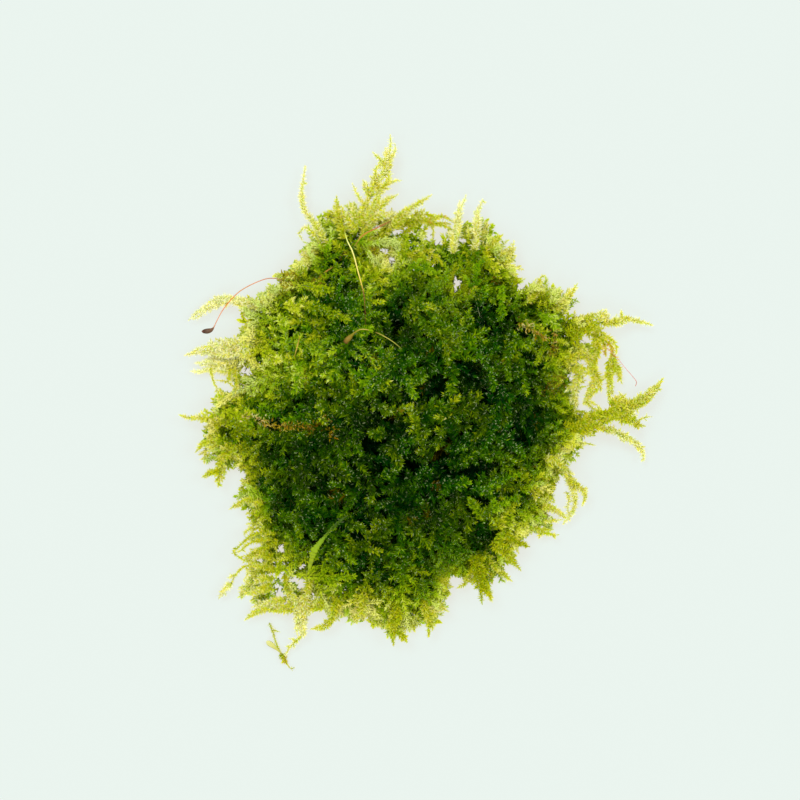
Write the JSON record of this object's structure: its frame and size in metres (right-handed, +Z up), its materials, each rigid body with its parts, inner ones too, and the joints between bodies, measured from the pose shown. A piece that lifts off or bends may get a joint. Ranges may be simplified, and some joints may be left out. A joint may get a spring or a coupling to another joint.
{
  "type": "moss clump",
  "caption": "Picked clump of feather moss: a dense domed mat of tangled leafy shoots with free shoots round its rim, spore stalks with capsules, and dead stems, lying flat.",
  "frame": {"origin": "on the surface that the clump lies on, under the middle of its bounding box", "axes": "+Z up, out of the top of the clump; +Y towards the tallest free shoot, the longest way across; +X to the right, seen from above with +Y away"},
  "size_m": [0.0976, 0.1069, 0.0178],
  "materials": {
    "moss_mat": "dense wet leaves, dark green",
    "moss_shoot": "thin translucent leaves, yellow-green",
    "seta_orange": "smooth plant stalk, orange to dark brown",
    "seta_straw": "smooth plant stalk, straw yellow",
    "green_blade": "smooth leaf blade, yellow-green",
    "dead_stem": "dull dead plant stem, brown"
  },
  "bodies": {
    "root": {"blade_bare_green": "green_blade", "moss_mat": "moss_mat", "seta_red_thin": "seta_orange", "seta_straw": "seta_straw", "shoot_east_hook": "moss_shoot", "shoot_east_loop": "moss_shoot", "shoot_east_main": "moss_shoot", "shoot_east_twig": "moss_shoot", "shoot_east_upper": "moss_shoot", "shoot_north_arch": "moss_shoot", "shoot_north_arm": "moss_shoot", "shoot_north_pair_left": "moss_shoot", "shoot_north_pair_right": "moss_shoot", "shoot_north_spike": "moss_shoot", "shoot_north_tall": "moss_shoot", "shoot_northeast_knob": "moss_shoot", "shoot_northeast_red": "moss_shoot", "shoot_northeast_spike": "moss_shoot", "shoot_northeast_top": "moss_shoot", "shoot_northwest_curl": "moss_shoot", "shoot_northwest_thin": "moss_shoot", "shoot_south_by_east_long": "moss_shoot", "shoot_south_by_east_low": "moss_shoot", "shoot_south_by_east_upper": "moss_shoot", "shoot_south_hook": "moss_shoot", "shoot_south_short": "moss_shoot", "shoot_south_trailing": "moss_shoot", "shoot_south_tuft": "moss_shoot", "shoot_south_tuft_corner": "moss_shoot", "shoot_south_tuft_right": "moss_shoot", "shoot_south_twig": "moss_shoot", "shoot_southeast_arch": "moss_shoot", "shoot_southeast_knob": "moss_shoot", "shoot_southeast_low": "moss_shoot", "shoot_southwest_long": "moss_shoot", "shoot_southwest_loop": "moss_shoot", "shoot_southwest_short": "moss_shoot", "shoot_southwest_thin": "moss_shoot", "shoot_west_bridge": "moss_shoot", "shoot_west_hanging": "moss_shoot", "shoot_west_long": "moss_shoot", "shoot_west_low": "moss_shoot", "shoot_west_northwest": "moss_shoot", "shoot_west_pale": "moss_shoot", "shoot_west_twig": "moss_shoot", "shoot_west_upper": "moss_shoot", "sporophyte_dark_capsule": "seta_orange", "sporophyte_pale_capsule": "seta_straw", "sprig_fallen": "moss_shoot", "stem_brown_north": "dead_stem", "stem_brown_northwest": "dead_stem", "stem_dead_east": "dead_stem", "stem_dead_north": "dead_stem", "stem_dead_west": "dead_stem"}
  },
  "joints": []
}
